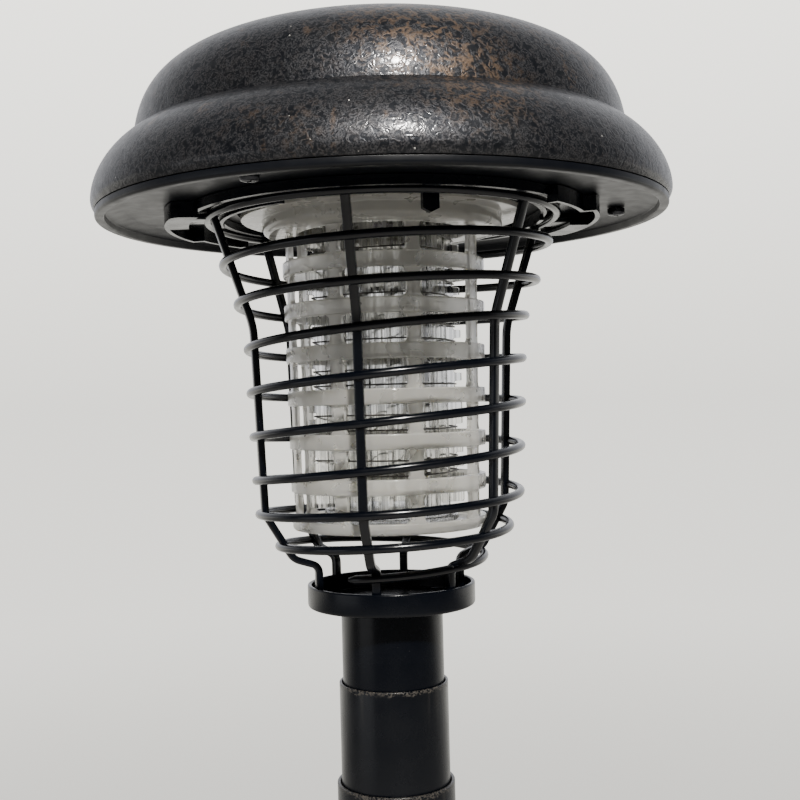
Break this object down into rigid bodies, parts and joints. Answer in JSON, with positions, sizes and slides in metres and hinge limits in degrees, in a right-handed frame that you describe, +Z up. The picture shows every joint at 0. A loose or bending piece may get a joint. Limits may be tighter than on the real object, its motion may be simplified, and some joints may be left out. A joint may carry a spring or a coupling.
{
  "type": "solar garden light",
  "caption": "Solar stake light with a domed hood over a wire cage, a white slotted guard, a clear lamp core with live wires, and a telescoping pole.",
  "frame": {"origin": "on the pole's axis at the ground line, where the spike's flange meets the soil", "axes": "+Z up along the pole, -Y the front of the light, +X to the right seen from the front"},
  "size_m": [0.1802, 0.1802, 0.557],
  "materials": {
    "hood_finish": "hammered charcoal and bronze",
    "black_plastic": "satin",
    "black_wire": "satin",
    "pole_paint": "satin, dusty rims",
    "milky_plastic": "translucent white",
    "clear_plastic": "clear",
    "clear_cover": "clear",
    "led_lens": "clear lens",
    "wire_steel": "drawn",
    "spring_steel": "bright",
    "screw_steel": "blackened",
    "switch_metal": "stamped",
    "solar_cell": "dark blue cells",
    "foam": "foam",
    "white_board": "solder mask",
    "green_board": "solder mask",
    "transformer_tape": "tape",
    "capacitor_sleeve": "sleeve",
    "film_red": "dipped",
    "battery_wrap": "wrap",
    "panel_lead_plus": "insulation",
    "panel_lead_minus": "insulation"
  },
  "bodies": {
    "stake": {"ground_spike": "black_plastic", "lower_tube": "pole_paint"},
    "extension": {"upper_tube": "pole_paint", "neck_stop_ring": "black_plastic"},
    "cage": {"neck_tube": "black_plastic", "dish_cup": "black_plastic", "cage_hoop": "black_wire", "cage_bar_1": "black_wire", "cage_bar_2": "black_wire", "cage_bar_3": "black_wire", "cage_bar_4": "black_wire", "cage_bar_5": "black_wire", "cage_bar_6": "black_wire", "cage_spiral_1": "black_wire", "cage_spiral_2": "black_wire", "cage_spiral_3": "black_wire", "cage_spiral_4": "black_wire", "cage_spiral_5": "black_wire", "cage_spiral_6": "black_wire", "cage_spiral_7": "black_wire", "cage_spiral_8": "black_wire", "cage_spiral_9": "black_wire"},
    "head": {"hood_shell": "hood_finish", "solar_panel": "solar_cell", "panel_window": "clear_cover", "panel_gasket": "foam", "base_plate": "black_plastic", "base_screw_1": "screw_steel", "base_screw_2": "screw_steel", "base_screw_3": "screw_steel", "bayonet_collar": "black_plastic", "lamp_cup": "black_plastic", "diffuser_disc": "milky_plastic", "inner_guard": "milky_plastic", "light_core": "clear_plastic", "core_cap": "clear_plastic", "live_wire_a": "wire_steel", "live_wire_b": "wire_steel", "led_board": "white_board", "uv_led_1": "led_lens", "uv_led_2": "led_lens", "uv_led_3": "led_lens", "uv_led_4": "led_lens", "circuit_board": "green_board", "step_up_transformer": "transformer_tape", "storage_capacitor": "capacitor_sleeve", "film_capacitor": "film_red", "switch_body": "switch_metal", "battery": "battery_wrap", "battery_holder": "black_plastic", "contact_plate": "spring_steel", "contact_spring": "spring_steel", "panel_lead_plus": "panel_lead_plus", "panel_lead_minus": "panel_lead_minus"},
    "knob": {"switch_knob": "black_plastic"}
  },
  "joints": [
    {"name": "pole_extend", "type": "slide", "parent": "stake", "child": "extension", "axis": [0, 0, 1], "range_m": [0, 0.1]},
    {"name": "neck_swivel", "type": "hinge", "parent": "extension", "child": "cage", "pos_m": [0, 0, 0.2069], "axis": [0, 0, 1], "continuous": true},
    {"name": "head_twist", "type": "hinge", "parent": "cage", "child": "head", "pos_m": [0, 0, 0.3532], "axis": [0, 0, 1], "range_deg": [0, 20]},
    {"name": "power_switch", "type": "slide", "parent": "head", "child": "knob", "axis": [1, 0, 0], "range_m": [0, 0.004]}
  ]
}
